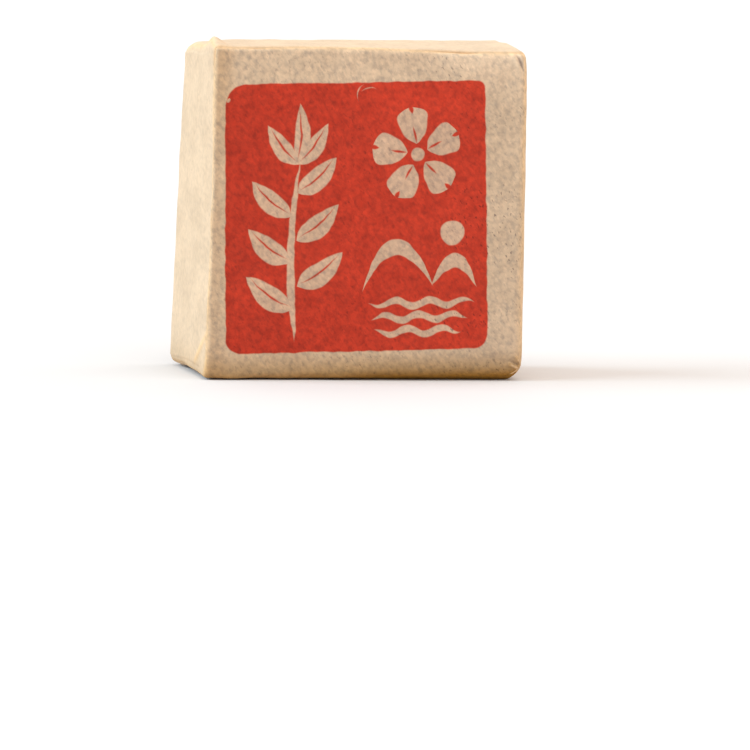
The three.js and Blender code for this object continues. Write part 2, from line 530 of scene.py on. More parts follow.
@dataclass
class WrappedBody:
    """The sheet over the face, top, foot and back, with the paper folded in at the ends."""

    form: BrickForm
    fine: float = 0.2
    fine_reach: float = 3.4
    coarse: float = 0.45

    def relief(self, skin: np.ndarray, out: np.ndarray, sheet: np.ndarray) -> np.ndarray:
        """How far the paper stands out from the round-edged block.

        Args:
            skin: places on the true block.
            out: the way out at each place.
            sheet: places on the unfolded sheet.

        Returns:
            The relief in millimetres.
        """
        form = self.form
        a, b, z = skin[..., 0] / form.half[0], skin[..., 1] / form.half[1], skin[..., 2]
        from_face = skin[..., 1] + form.half[1]
        folded_in = mix(*form.folded_in, ramp(a, -1.0, -0.5))
        sunk = mix(form.under_flap, folded_in, form.beyond_flap(a, b, z))
        end = form.end_puff(a, b, z) - sunk * ease(from_face, *form.flap_emerges)
        face = form.swell(skin[..., 0], z)
        inward = np.minimum(form.half[0] - np.abs(skin[..., 0]), form.half[1] - np.abs(skin[..., 1]))
        foot = form.rest_drop * ramp(inward, *form.rest_slope)
        along_y = np.where(out[..., 1] > 0, -sunk, face)
        along_z = np.where(out[..., 2] < 0, foot, 0.0)
        shares = out**2
        plain = shares[..., 0] * end + shares[..., 1] * along_y + shares[..., 2] * along_z
        resting = (out[..., 2] < -0.5) & (inward > form.rest_slope[0])
        return plain + np.where(resting, 0.0, form.crumple(sheet, skin, out))

    def patch(
        self, a: np.ndarray, b: np.ndarray, z: np.ndarray, sheet: tuple[np.ndarray, np.ndarray],
        area: Area, flipped: bool,
    ) -> Patch:
        """One side of the body.

        Args:
            a: places across, from -1 to 1.
            b: places through, from -1 to 1.
            z: heights in millimetres.
            sheet: places on the unfolded sheet, across and up.
            area: the side's part of the bake's layout.
            flipped: whether the faces turn the other way.

        Returns:
            The patch.
        """
        form = self.form
        skin, point, out = form.block(a, b, z)
        flat = np.stack(sheet, axis=-1)
        placed = form.settle(skin, point + out * self.relief(skin, out, flat)[..., None])
        return Patch(placed, flat, area.spread(*sheet), form.painted_light_mask(out, flat), flipped)

    def patches(self) -> list[Patch]:
        """The six sides.

        Returns:
            The patches of the face, back, left end, right end, foot and top.
        """
        form = self.form
        lines = (self.fine, self.fine_reach, self.coarse)
        across = spread_lines(form.width, *lines)
        through = spread_lines(form.depth, *lines)
        up = spread_lines(form.height, *lines)
        a, b = across / form.half[0] - 1, through / form.half[1] - 1
        x, y, z = across - form.half[0], through, up
        made = []
        wide, tall = np.meshgrid(a, z, indexing="ij")
        flat_x, _ = np.meshgrid(x, z, indexing="ij")
        one = np.ones_like(wide)
        face = Area(0.01, 0.01, 0.66, 0.66)
        back = Area(0.69, 0.69, 0.3, 0.3)
        made.append(self.patch(wide, -one, tall, (flat_x, tall), face, False))
        behind = (-flat_x - form.width - form.depth, tall)
        made.append(self.patch(wide, one, tall, behind, back, True))
        deep, tall = np.meshgrid(b, z, indexing="ij")
        run, _ = np.meshgrid(y, z, indexing="ij")
        one = np.ones_like(deep)
        left, right = Area(0.69, 0.01, 0.14, 0.66), Area(0.85, 0.01, 0.14, 0.66)
        made.append(self.patch(-one, deep, tall, (-form.half[0] - run, tall), left, True))
        made.append(self.patch(one, deep, tall, (form.half[0] + run, tall), right, False))
        wide, deep = np.meshgrid(a, b, indexing="ij")
        flat_x, run = np.meshgrid(x, y, indexing="ij")
        one = np.ones_like(wide)
        top, foot = Area(0.01, 0.69, 0.66, 0.14), Area(0.01, 0.85, 0.66, 0.14)
        made.append(self.patch(wide, deep, 0 * one, (flat_x, -run), foot, True))
        made.append(self.patch(wide, deep, form.height * one, (flat_x, form.height + run), top, False))
        return made


@dataclass
class Flap:
    """A flap of the face's sheet that runs round a narrow end and lies on the back as a tail."""

    form: BrickForm
    side: Side
    tail_end: float
    over_other: bool
    lifts: tuple[tuple[float, float, float, float], ...] = ()
    edge_lift: float = 0.1
    edge_lift_reach: float = 1.5
    edge_lift_start: tuple[float, float] = (3.0, 9.0)
    # Painted highlight along the flap's rolled rim, and how far in it reaches.
    edge_highlight: float = 0.4
    edge_highlight_reach: float = 0.25
    thickness: float = 0.24
    start: float = 1.1
    sink: float = 0.06
    surfacing: tuple[float, float] = (1.5, 2.2)
    edge_roll: float = 0.12
    edge_roll_reach: float = 0.4
    inner_roll: float = 1.4
    clearance: float = 0.05
    overlap: float = 0.32
    climb: tuple[float, float] = (9.0, 3.0)
    last_climb: tuple[float, float] = (4.0, 0.0)
    first_height: float = 0.2
    edge_waves: Ripples = Ripples(seed=21, height=0.09, shortest=8.0, longest=20.0)
    wave_places: tuple[float, float] = (9.0, 40.0)
    tail_waves: float = 4.0
    tail_waves_start: tuple[float, float, float] = (3.0, 30.0, 60.0)
    grid: tuple[float, float, float] = (0.2, 3.0, 0.5)
    cross_grid: tuple[float, float, float] = (0.003, 0.03, 0.0095)

    def lines(self) -> tuple[np.ndarray, np.ndarray]:
        """Lines of the flap's grid.

        Returns:
            The lines along the flap from its start, in millimetres, and across it from 0 to 1.
        """
        fold = self.form.depth
        length = fold + self.form.half[0] - self.side.value * self.tail_end
        end = self.start + spread_lines(fold - self.start, *self.grid)
        tail = fold + spread_lines(length - fold, *self.grid)
        return np.concatenate([end, tail[1:]]), spread_lines(1.0, *self.cross_grid)

    def shape(self, along: np.ndarray, up: np.ndarray) -> dict[str, np.ndarray]:
        """Where the flap's grid lies on the block.

        Args:
            along: distance from the face's edge, round the end and over the back.
            up: from 0 at the lower slanting edge to 1 at the upper one.

        Returns:
            a, b, z on the block, the sheet's places, and the distance from the flap's own edges.
        """
        form, sign = self.form, self.side.value
        beside, height = self.wave_places
        wander = self.edge_waves.at(np.stack([along, beside * sign + 0 * along, height * up], axis=-1))
        past_fold, *reach = self.tail_waves_start
        on_tail = along > form.depth + past_fold
        trimmed = along + np.where(on_tail, self.tail_waves * wander * ramp(along, *reach), 0.0)
        b = np.clip(2 * trimmed / form.depth - 1, -1, 1)
        x = sign * (form.half[0] - np.maximum(trimmed - form.depth, 0))
        a = x / form.half[0]
        low = form.inset(a, b, form.foot_insets) + wander
        high = form.height - form.inset(a, b, form.top_insets) + wander
        z = mix(low, high, up)
        from_edge = np.minimum(z - low, high - z)
        from_tail = along.max() - along
        return {
            "a": a, "b": b, "z": z, "x": x, "along": along,
            "sheet": np.stack([sign * (form.half[0] + along), z], axis=-1),
            "edge": np.minimum(from_edge, from_tail),
        }

    def relief(self, at: dict[str, np.ndarray], skin: np.ndarray, out: np.ndarray) -> np.ndarray:
        """How far the flap's outer side stands out from the round-edged block.

        Args:
            at: what shape() gave.
            skin: places on the true block.
            out: the way out at each place.

        Returns:
            The relief in millimetres.
        """
        form = self.form
        end = form.end_puff(at["a"], at["b"], at["z"])
        climbed = mix(self.first_height, 1.0, ease(at["x"], *self.last_climb))
        over = ease(at["x"], *self.climb) * climbed
        back = (self.clearance + self.overlap * over) if self.over_other else 0.0 * over
        shares = out**2
        plain = shares[..., 0] * end + shares[..., 1] * back
        rough = form.crumple(at["sheet"], skin, out)
        lift = np.zeros_like(plain)
        for along, up, height, reach in self.lifts:
            gap = np.hypot(at["along"] - along, at["z"] - up)
            lift += height * np.exp(-((gap / reach) ** 2))
        edge = self.edge_lift * np.exp(-at["edge"] / self.edge_lift_reach)
        lifted = edge * ramp(at["along"], *self.edge_lift_start) + lift
        roll = self.edge_roll * (1 - ease(at["edge"], 0.0, self.edge_roll_reach))
        sunk = self.sink * (1 - ease(at["along"], *self.surfacing))
        return plain + rough + lifted - roll - sunk

    def patches(self) -> list[Patch]:
        """The outer side, the inner side and the rim between them.

        Returns:
            The patches that close the flap.
        """
        form = self.form
        along, up = np.meshgrid(*self.lines(), indexing="ij")
        at = self.shape(along, up)
        skin, point, out = form.block(at["a"], at["b"], at["z"])
        outer = self.relief(at, skin, out)
        rolled = self.edge_roll * (1 - ease(at["edge"], 0.0, self.edge_roll_reach))
        inner = outer - self.thickness + self.inner_roll * rolled
        sides = [form.settle(skin, point + out * relief[..., None]) for relief in (outer, inner)]
        # Painted highlight along the flap's rolled edges, added to the fold mask.
        rim_highlight = self.edge_highlight * np.exp(-at["edge"] / self.edge_highlight_reach)
        fold = np.clip(form.painted_light_mask(out, at["sheet"]) + rim_highlight, -1.0, 1.0)
        flipped = self.side is Side.LEFT
        outside, inside = Area(0.01, 0.01, 0.98, 0.6), Area(0.01, 0.63, 0.98, 0.36)
        made = [
            Patch(sides[0], at["sheet"], outside.spread(along, up), fold, flipped),
            Patch(sides[1], at["sheet"], inside.spread(along, up), fold, not flipped),
        ]
        for cut in (np.s_[:, 0], np.s_[-1, :], np.s_[::-1, -1], np.s_[0, ::-1]):
            rim = [np.stack([grid[cut], other[cut]], axis=1) for grid, other in (
                (sides[0], sides[1]), (at["sheet"], at["sheet"]),
                (outside.spread(along, up), outside.spread(along, up)), (fold, fold),
            )]
            made.append(Patch(*rim, flipped=not flipped))
        return made


class Link:
    """One output of a shader node; arithmetic on it adds Math nodes."""

    def __init__(self, maker: "NodeMaker", socket: bpy.types.NodeSocket) -> None:
        """Keeps the maker of nodes and the socket."""
        self.maker = maker
        self.socket = socket

    def __add__(self, other: "float | Link") -> "Link":
        """self + other."""
        return self.maker.math("ADD", self, other)

    def __radd__(self, other: "float | Link") -> "Link":
        """other + self."""
        return self.maker.math("ADD", other, self)

    def __sub__(self, other: "float | Link") -> "Link":
        """self - other."""
        return self.maker.math("SUBTRACT", self, other)

    def __rsub__(self, other: "float | Link") -> "Link":
        """other - self."""
        return self.maker.math("SUBTRACT", other, self)

    def __mul__(self, other: "float | Link") -> "Link":
        """self * other."""
        return self.maker.math("MULTIPLY", self, other)

    def __rmul__(self, other: "float | Link") -> "Link":
        """other * self."""
        return self.maker.math("MULTIPLY", other, self)

    def __abs__(self) -> "Link":
        """The size of self without its sign."""
        return self.maker.math("ABSOLUTE", self)

    def least(self, other: "float | Link") -> "Link":
        """The smaller of self and other."""
        return self.maker.math("MINIMUM", self, other)

    def most(self, other: "float | Link") -> "Link":
        """The larger of self and other."""
        return self.maker.math("MAXIMUM", self, other)

    def root(self) -> "Link":
        """The square root of self."""
        return self.maker.math("SQRT", self)

    def above(self, level: float) -> "Link":
        """1 where self is over the level, else 0."""
        return self.maker.math("GREATER_THAN", self, level)

    def ease(self, start: float, end: float) -> "Link":
        """A soft climb from 0 where self is start to 1 where it is end."""
        return self.maker.add(
            "ShaderNodeMapRange",
            {"interpolation_type": "SMOOTHSTEP"},
            {"Value": self, "From Min": start, "From Max": end},
        )


class NodeMaker:
    """Adds nodes to a material's tree and links them."""

    noise_roughness = 0.55

    def __init__(self, tree: bpy.types.NodeTree) -> None:
        """Keeps the tree."""
        self.tree = tree

    def add(
        self, kind: str, settings: dict[str, object] | None = None,
        sockets: dict[str | int, object] | None = None, output: str | int = 0,
    ) -> Link:
        """Adds one node.

        Args:
            kind: the node's type.
            settings: its own settings, set first.
            sockets: the value or link of each input, by name or place.
            output: the output that is wanted, by name or place.

        Returns:
            The wanted output.
        """
        node = self.tree.nodes.new(kind)
        for name, value in (settings or {}).items():
            setattr(node, name, value)
        for key, value in (sockets or {}).items():
            if isinstance(value, Link):
                self.tree.links.new(value.socket, node.inputs[key])
            else:
                node.inputs[key].default_value = value
        return Link(self, node.outputs[output])

    def math(self, operation: str, *terms: "float | Link") -> Link:
        """A Math node on one or more values."""
        return self.add("ShaderNodeMath", {"operation": operation}, dict(enumerate(terms)))

    def split(self, vector: Link) -> tuple[Link, Link]:
        """The first two parts of a vector."""
        first = self.add("ShaderNodeSeparateXYZ", None, {0: vector})
        return first, Link(self, first.socket.node.outputs[1])

    def vector_math(self, operation: str, *terms: "Link | tuple[float, ...]") -> Link:
        """A Vector Math node."""
        return self.add("ShaderNodeVectorMath", {"operation": operation}, dict(enumerate(terms)))

    def mix(self, share: "float | Link", low: object, high: object, blend: str = "MIX") -> Link:
        """Mixes two colours.

        Args:
            share: how much of the second colour, from 0 to 1.
            low: the first colour, as a link or four numbers.
            high: the second colour.
            blend: the blend type.

        Returns:
            The mixed colour.
        """
        settings = {"data_type": "RGBA", "blend_type": blend}
        return self.add("ShaderNodeMix", settings, {0: share, 6: low, 7: high}, output=2)

    def place(
        self, vector: Link, at: tuple[float, float], turn: float, scale: tuple[float, float],
    ) -> Link:
        """A vector as seen from a place, turned and measured in a unit.

        Args:
            vector: the vector.
            at: where the new origin lies.
            turn: how far the new axes are turned, in degrees.
            scale: the new units along both axes.

        Returns:
            The vector in the new axes.
        """
        return self.add("ShaderNodeMapping", {"vector_type": "TEXTURE"}, {
            "Vector": vector, "Location": (*at, 0.0),
            "Rotation": (0.0, 0.0, math.radians(turn)), "Scale": (*scale, 1.0),
        })

    def noise(self, vector: Link, scale: float, detail: float, output: str = "Fac") -> Link:
        """Soft noise over the sheet.

        Args:
            vector: places on the sheet.
            scale: lumps per millimetre.
            detail: how many finer layers lie on the first.
            output: the output that is wanted.

        Returns:
            The noise.
        """
        sockets = {"Vector": vector, "Scale": scale, "Detail": detail, "Roughness": self.noise_roughness}
        return self.add("ShaderNodeTexNoise", {"noise_dimensions": "2D"}, sockets, output=output)


@dataclass(frozen=True)
class Stroke:
    """A brush stroke of the print, in millimetres on the printed square.

    length and width are half of its own, bend is how far its middle stands off, taper makes one
    end heavier, and blunt goes from 1 for pointed ends to 2 for round ones.
    """

    x: float
    y: float
    turn: float
    length: float
    width: float
    bend: float = 0.0
    taper: float = 0.0
    blunt: float = 1.0
    least_taper: float = 0.2

    def outside(self, square: Link) -> Link:
        """How far a place on the square lies outside the stroke.

        Args:
            square: places on the printed square.

        Returns:
            The distance in millimetres, below 0 within the stroke.
        """
        maker = square.maker
        unit = (self.length, self.length)
        along, across = maker.split(maker.place(square, (self.x, self.y), self.turn, unit))
        body = 1 - along * along
        width = body * (self.width / self.length)
        if self.blunt != 1.0:
            width = width * (self.blunt - body * (self.blunt - 1.0))
        if self.taper:
            width = width * (along * self.taper + 1).most(self.least_taper)
        if self.bend:
            across = across - body * (self.bend / self.length)
        return (abs(across) - width) * self.length


@dataclass(frozen=True)
class Wave:
    """A level line of water, in millimetres on the printed square."""

    x: float
    y: float
    length: float
    width: float
    height: float
    crest: float
    start: float

    def outside(self, square: Link) -> Link:
        """How far a place on the square lies outside the line.

        Args:
            square: places on the printed square.

        Returns:
            The distance in millimetres, below 0 within the line.
        """
        maker = square.maker
        along, across = maker.split(maker.place(square, (self.x, self.y), 0.0, (1.0, 1.0)))
        swing = maker.math("SINE", along * (2 * math.pi / self.crest) + self.start)
        thin = 1 - along * along * (1 / self.length**2)
        return abs(across - swing * self.height) - thin * (2.0 - thin) * self.width


@dataclass(frozen=True)
class Disc:
    """A round spot of the print, in millimetres on the printed square."""

    x: float
    y: float
    radius: float

    def outside(self, square: Link) -> Link:
        """How far a place on the square lies outside the spot.

        Args:
            square: places on the printed square.

        Returns:
            The distance in millimetres, below 0 within the spot.
        """
        maker = square.maker
        across, up = maker.split(maker.place(square, (self.x, self.y), 0.0, (1.0, 1.0)))
        return (across * across + up * up).root() - self.radius


@dataclass(frozen=True)
class Sprig:
    """A tall sprig of tea with pairs of leaves, in millimetres on the printed square.

    bow is how far the stem's middle stands off, and over what height. The second number of spread,
    leaf_length and leaf_width tells how much less it is at the top. tip_leaves are given by turn,
    length and width.
    """

    stem: Stroke = Stroke(-10.6, -5.6, 88.0, 15.2, 0.62, bend=1.1, taper=-0.3, blunt=1.8)
    foot: tuple[float, float] = (-10.7, -15.6)
    bow: tuple[float, float] = (0.55, 10.0)
    beside: float = 0.5
    pairs: int = 3
    pair_rise: float = 8.0
    right_rise: float = 3.9
    spread: tuple[float, float] = (54.0, 8.0)
    leaf_length: tuple[float, float] = (4.9, 0.45)
    leaf_width: tuple[float, float] = (1.95, 0.2)
    tip: tuple[float, float] = (-10.3, 9.2)
    tip_leaves: tuple[tuple[float, float, float], ...] = (
        (128.0, 4.3, 1.5),
        (52.0, 4.3, 1.5),
        (88.0, 5.2, 1.35),
    )
    leaf_bend: float = 0.12
    leaf_taper: float = -0.25
    leaf_blunt: float = 1.35
    vein_length: float = 0.72
    vein_width: float = 0.17
    vein_bend: float = 0.6

    def leaf(self, x: float, y: float, turn: float, length: float, width: float) -> tuple[Stroke, Stroke]:
        """One leaf.

        Args:
            x: where its foot lies across.
            y: where its foot lies up.
            turn: where it points, in degrees.
            length: half its length.
            width: half its width.

        Returns:
            The blade, and the cut of its middle vein.
        """
        way = math.radians(turn)
        middle = (x + length * math.cos(way), y + length * math.sin(way))
        bend = self.leaf_bend * length * (1 if math.cos(way) < 0 else -1)
        blade = Stroke(
            *middle, turn, length, width, bend=bend, taper=self.leaf_taper, blunt=self.leaf_blunt
        )
        vein_bend = bend * self.vein_bend
        return blade, Stroke(*middle, turn, length * self.vein_length, self.vein_width, bend=vein_bend)

    def strokes(self) -> tuple[list[Stroke], list[Stroke]]:
        """The whole sprig.

        Returns:
            The stem and blades, and the cuts of the veins.
        """
        leaves = []
        for pair in range(self.pairs):
            share = pair / self.pairs
            length, width, spread = (
                most - less * share for most, less in (self.leaf_length, self.leaf_width, self.spread)
            )
            for side, rise in ((-1, 0.0), (1, self.right_rise)):
                y = self.foot[1] + self.pair_rise * pair + rise
                off = self.bow[0] * math.cos((y - self.stem.y) / self.bow[1])
                x = self.foot[0] - off + self.beside * side
                leaves.append(self.leaf(x, y, 90 - side * spread, length, width))
        leaves += [self.leaf(*self.tip, *sizes) for sizes in self.tip_leaves]
        blades, veins = zip(*leaves)
        return [self.stem, *blades], list(veins)


@dataclass(frozen=True)
class Blossom:
    """A blossom with a dot in its middle, in millimetres on the printed square.

    petal, vein and notch are given by how far out their middle lies, half the length and half the
    width.
    """

    middle: tuple[float, float] = (10.9, 10.6)
    dot: float = 1.2
    petals: int = 5
    first_turn: float = 98.0
    petal: tuple[float, float, float] = (5.05, 3.15, 2.45)
    petal_taper: float = 0.35
    petal_blunt: float = 2.0
    vein: tuple[float, float, float] = (3.4, 1.3, 0.2)
    notch: tuple[float, float, float] = (7.9, 0.9, 0.4)

    def ray(self, turn: float, sizes: tuple[float, float, float], taper: float = 0.0,
            blunt: float = 1.0) -> Stroke:
        """A stroke that points away from the middle.

        Args:
            turn: where it points, in degrees.
            sizes: how far out it lies, half its length and half its width.
            taper: as in Stroke.
            blunt: as in Stroke.

        Returns:
            The stroke.
        """
        out, length, width = sizes
        way = math.radians(turn)
        x, y = self.middle[0] + out * math.cos(way), self.middle[1] + out * math.sin(way)
        return Stroke(x, y, turn, length, width, taper=taper, blunt=blunt)

    def strokes(self) -> tuple[list[Stroke | Disc], list[Stroke]]:
        """The whole blossom.

        Returns:
            The dot and the petals, and the cuts in the petals.
        """
        turns = [self.first_turn + petal * 360 / self.petals for petal in range(self.petals)]
        petals = [self.ray(turn, self.petal, self.petal_taper, self.petal_blunt) for turn in turns]
        cuts = [self.ray(turn, sizes) for turn in turns for sizes in (self.vein, self.notch)]
        return [Disc(*self.middle, self.dot), *petals], cuts


@dataclass(frozen=True)
class Landscape:
    """Two hills, a disc of sun over them, and rows of water, in millimetres on the square.

    row_step is how far each row of water lies from the last one across and up, how much longer it
    is, and how far its waves are on.
    """

    hills: tuple[Stroke, ...] = (
        Stroke(7.1, -12.2, 3.0, 6.3, 1.4, bend=7.0, taper=0.15, blunt=1.8),
        Stroke(17.15, -12.0, -3.0, 3.95, 1.3, bend=4.3, taper=-0.1, blunt=1.8),
    )
    sun: Disc = Disc(16.9, -2.9, 2.1)
    water: Wave = Wave(11.3, -14.9, 9.2, 0.64, 0.5, 6.1, 0.0)
    rows: int = 3
    row_step: tuple[float, float, float, float] = (-0.4, -2.45, -0.8, 1.7)

    def shapes(self) -> list[Stroke | Wave | Disc]:
        """The hills, the sun and the water.

        Returns:
            The shapes.
        """
        across, up, longer, further = self.row_step
        water = [
            replace(
                self.water, x=self.water.x + across * row, y=self.water.y + up * row,
                length=self.water.length + longer * row, start=further * row,
            )
            for row in range(self.rows)
        ]
        return [*self.hills, self.sun, *water]


@dataclass(frozen=True)
class PrintedSquare:
    """The red square with round corners and its paper-coloured design, in millimetres.

    The design is a tea sprig, a blossom, and hills over water, with a nick at the square's edge and
    two faint scratches near its top. Corner radii run from lower left round to upper left. flare is
    how much the right edge leans out.
    """

    middle: tuple[float, float] = (-2.27, 27.85)
    half: tuple[float, float] = (23.12, 23.0)
    turn: float = 1.7
    radii: tuple[float, float, float, float] = (2.7, 2.6, 1.3, 3.7)
    flare: float = 0.0096
    blur: float = 0.16
    sway: float = 0.42
    sway_scale: float = 0.4
    haze: float = 0.12
    sprig: Sprig = Sprig()
    blossom: Blossom = Blossom()
    landscape: Landscape = Landscape()
    marks: tuple[Stroke, ...] = (
        Stroke(-22.6, 20.4, 60.0, 0.45, 0.3, blunt=1.5),
        Stroke(0.7, 21.4, 72.0, 1.1, 0.09, bend=0.35),
        Stroke(2.3, 21.9, 8.0, 0.9, 0.06, bend=0.2),
    )

    def outside(self, square: Link) -> Link:
        """How far a place lies outside the red.

        Args:
            square: places on the printed square.

        Returns:
            The distance in millimetres, below 0 within the red.
        """
        x, y = square.maker.split(square)
        low_left, low_right, high_right, high_left = self.radii
        right, high = x.above(0.0), y.above(0.0)
        radius = low_left + right * (low_right - low_left) + high * (high_left - low_left)
        radius = radius + right * high * (high_right - high_left - low_right + low_left)
        over_x = (abs(x) - right * y * self.flare - self.half[0] + radius).most(0.0)
        over_y = (abs(y) - self.half[1] + radius).most(0.0)
        return (over_x * over_x + over_y * over_y).root() - radius

    def ink(self, sheet: Link) -> Link:
        """Where the red lies.

        Args:
            sheet: places on the unfolded sheet.

        Returns:
            How much red there is at each place, from 0 to 1.
        """
        maker = sheet.maker
        sway = maker.noise(sheet, self.sway_scale, 1.0, output="Color")
        sway = maker.vector_math("SUBTRACT", sway, (0.5, 0.5, 0.5))
        sway = maker.vector_math("MULTIPLY", sway, (self.sway, self.sway, 0.0))
        square = maker.place(maker.vector_math("ADD", sheet, sway), self.middle, self.turn, (1.0, 1.0))
        sprig, veins = self.sprig.strokes()
        blossom, notches = self.blossom.strokes()
        shapes = [*sprig, *blossom, *self.landscape.shapes(), *self.marks]
        drawn = reduce(Link.least, [shape.outside(square) for shape in shapes])
        cut = reduce(Link.least, [shape.outside(square) for shape in veins + notches])
        bare = drawn.most(0 - cut).ease(-self.blur, self.blur)
        return self.outside(square).ease(self.blur, -self.blur) * (bare * (1 - self.haze) + self.haze)


@dataclass(frozen=True)
class Spots:
    """Soft spots spread over the sheet by noise.

    seen is the noise at which they begin and are full, lumps how many there are to a unit, and size
    the unit along and across them, in millimetres.
    """

    seen: tuple[float, float]
    lumps: float = 1.0
    detail: float = 1.0
    size: tuple[float, float] = (1.0, 1.0)
    turn: float = 0.0
    at: tuple[float, float] = (0.0, 0.0)

    def noise(self, sheet: Link) -> Link:
        """The noise behind the spots."""
        placed = sheet.maker.place(sheet, self.at, self.turn, self.size)
        return sheet.maker.noise(placed, self.lumps, self.detail)

    def share(self, sheet: Link) -> Link:
        """Where the spots are, from 0 to 1."""
        return self.noise(sheet).ease(*self.seen)


@dataclass(frozen=True)
class Fade:
    """A soft change from one share to another while a value goes from start to end."""

    start: float
    end: float
    before: float = 0.0
    after: float = 1.0

    def over(self, place: Link) -> Link:
        """The share at a place."""
        return place.ease(self.start, self.end) * (self.after - self.before) + self.before


@dataclass(frozen=True)
class Zone:
    """A soft-edged part of the sheet with a tint of its own.

    Its fades run across the sheet, up it, and out to both sides from its middle.
    """

    tint: tuple[float, float, float]
    across: tuple[Fade, ...] = ()
    up: tuple[Fade, ...] = ()
    sideways: tuple[Fade, ...] = ()

    def share(self, across: Link, up: Link) -> Link:
        """How much of the tint there is.

        Args:
            across: places across the sheet.
            up: places up the sheet.

        Returns:
            The share, from 0 to 1.
        """
        fades = [fade.over(across) for fade in self.across]
        fades += [fade.over(up) for fade in self.up]
        fades += [fade.over(abs(across)) for fade in self.sideways]
        return reduce(lambda one, other: one * other, fades)


@dataclass(frozen=True)
class PaperAndPaintedLight:
    """Matt unbleached tan paper with slanting fibres and specks, and what is printed on it.

    Tints multiply the colour under them; several of them are painted light and shade, on the plain paper,
    the red, the left margin, the foot, folds, ridges and grooves. The mottle is calmer on the ends and
    the top.
    """

    name: str
    tan: tuple[float, float, float] = (0.553, 0.387, 0.25)
    cloud_depth: float = 0.05
    clouds: Spots = Spots((0.3, 0.7), 0.16, 3.0)
    grain: Spots = Spots((0.62, 0.3), 1.0, 3.5)
    grain_tint: tuple[float, float, float] = (0.81, 0.82, 0.85)
    fibres: Spots = Spots((0.48, 0.72), 1.0, 2.0, size=(1.3, 0.7), turn=-57.0)
    fibre_tint: tuple[float, float, float] = (0.83, 0.855, 0.9)
    pale_fibres: Spots = Spots((0.5, 0.75), 1.0, 1.0, size=(1.4, 0.6), turn=-48.0, at=(31.0, 17.0))
    pale_fibre_tint: tuple[float, float, float] = (1.12, 1.1, 1.08)
    specks: Spots = Spots((0.68, 0.75), 1.0, 1.0, size=(0.95, 0.5), turn=-57.0, at=(7.0, 3.0))
    speck_patches: Spots = Spots((0.36, 0.6), 0.07, 1.0)
    speck_zone: Zone = Zone((0.5, 0.5, 0.54), across=(Fade(-12.0, 18.0, 0.4, 1.0),))
    calm: float = 0.6
    calm_beside: tuple[float, float] = (27.4, 29.2)
    calm_above: tuple[float, float] = (55.4, 57.4)
    # Painted shade in a band just inside the face's left fold.
    left_margin_painted_shade: Zone = Zone(
        (0.86, 0.79, 0.7),
        across=(Fade(-28.4, -27.2), Fade(-26.6, -23.5, 1.0, 0.0)),
        up=(Fade(34.0, 50.0, 0.55, 0.95), Fade(55.4, 57.0, 1.0, 0.0)),
    )
    # Painted light and shade on the plain paper: darker towards the face's right, a painted highlight
    # from its right edge onto the right end, and lighter towards its top.
    plain_painted_light_zones: tuple[Zone, ...] = (
        Zone((0.945, 0.95, 0.965), across=(Fade(-24.0, 18.0),)),
        Zone((1.06, 1.065, 1.06), across=(Fade(23.0, 28.0),)),
        Zone((1.12, 1.125, 1.13), across=(Fade(-24.0, 18.0, 0.4, 1.0),), up=(Fade(47.0, 52.0),)),
    )
    # Painted shade: a warm dark band along the foot of the face, weaker on the ends and fading out under
    # the brick.
    foot: Zone = Zone(
        (0.52, 0.35, 0.06),
        across=(Fade(-22.0, 8.0, 0.7, 1.0),),
        up=(Fade(-9.0, -2.0), Fade(-0.8, 6.3, 1.0, 0.0)),
        sideways=(Fade(27.5, 30.0, 1.0, 0.35),),
    )
    # Painted highlight along folds and rounded edges; a lighter tint on crease ridges, partly painted
    # highlight and partly whitened creases; painted shade in crease grooves.
    fold_highlight_tint: tuple[float, float, float] = (1.12, 1.03, 0.87)
    ridge: Fade = Fade(0.5, 0.9)
    # How much crease ridges clear the painted shade along the foot.
    ridge_clears_foot_shade: float = 0.8
    ridge_highlight_tint: tuple[float, float, float] = (1.12, 1.12, 1.12)
    groove_shade_tint: tuple[float, float, float] = (0.6, 0.6, 0.66)
    ink_tint: tuple[float, float, float] = (0.87, 0.085, 0.044)
    # Painted light and shade on the red: darker towards the left of the face, lighter towards its top.
    ink_painted_light_zones: tuple[Zone, ...] = (
        Zone((0.93, 0.9, 0.86), across=(Fade(-26.0, 6.0, 1.0, 0.0),)),
        Zone((1.07, 1.08, 1.09), up=(Fade(43.0, 50.0),)),
    )
    ink_blotches: Spots = Spots((0.42, 0.66), 0.42, 3.0)
    blotch_tint: tuple[float, float, float] = (0.88, 0.82, 0.78)
    roughness: float = 0.88
    ink_smoothness: float = 0.1
    gloss: float = 0.25
    tooth: Spots = Spots((0.0, 1.0), 3.2, 3.0)
    tooth_height: float = 0.00003
    tooth_strength: float = 0.5

    def tint(self, colour: Link, share: Link, tint: tuple[float, float, float]) -> Link:
        """Multiplies a colour by a tint where share is 1."""
        return colour.maker.mix(share, colour, (*tint, 1.0), blend="MULTIPLY")

    def mottled(self, sheet: Link, calm: Link) -> Link:
        """The bare paper with its clouds, grain and fibres.

        Args:
            sheet: places on the unfolded sheet.
            calm: how strong the grain and fibres are, up to 1.

        Returns:
            The colour.
        """
        low, high = (
            (*(part * (1 + way * self.cloud_depth) for part in self.tan), 1.0) for way in (-1, 1)
        )
        colour = sheet.maker.mix(self.clouds.share(sheet), low, high)
        for spots, tint in (
            (self.grain, self.grain_tint),
            (self.fibres, self.fibre_tint),
            (self.pale_fibres, self.pale_fibre_tint),
        ):
            colour = self.tint(colour, spots.share(sheet) * calm, tint)
        return colour

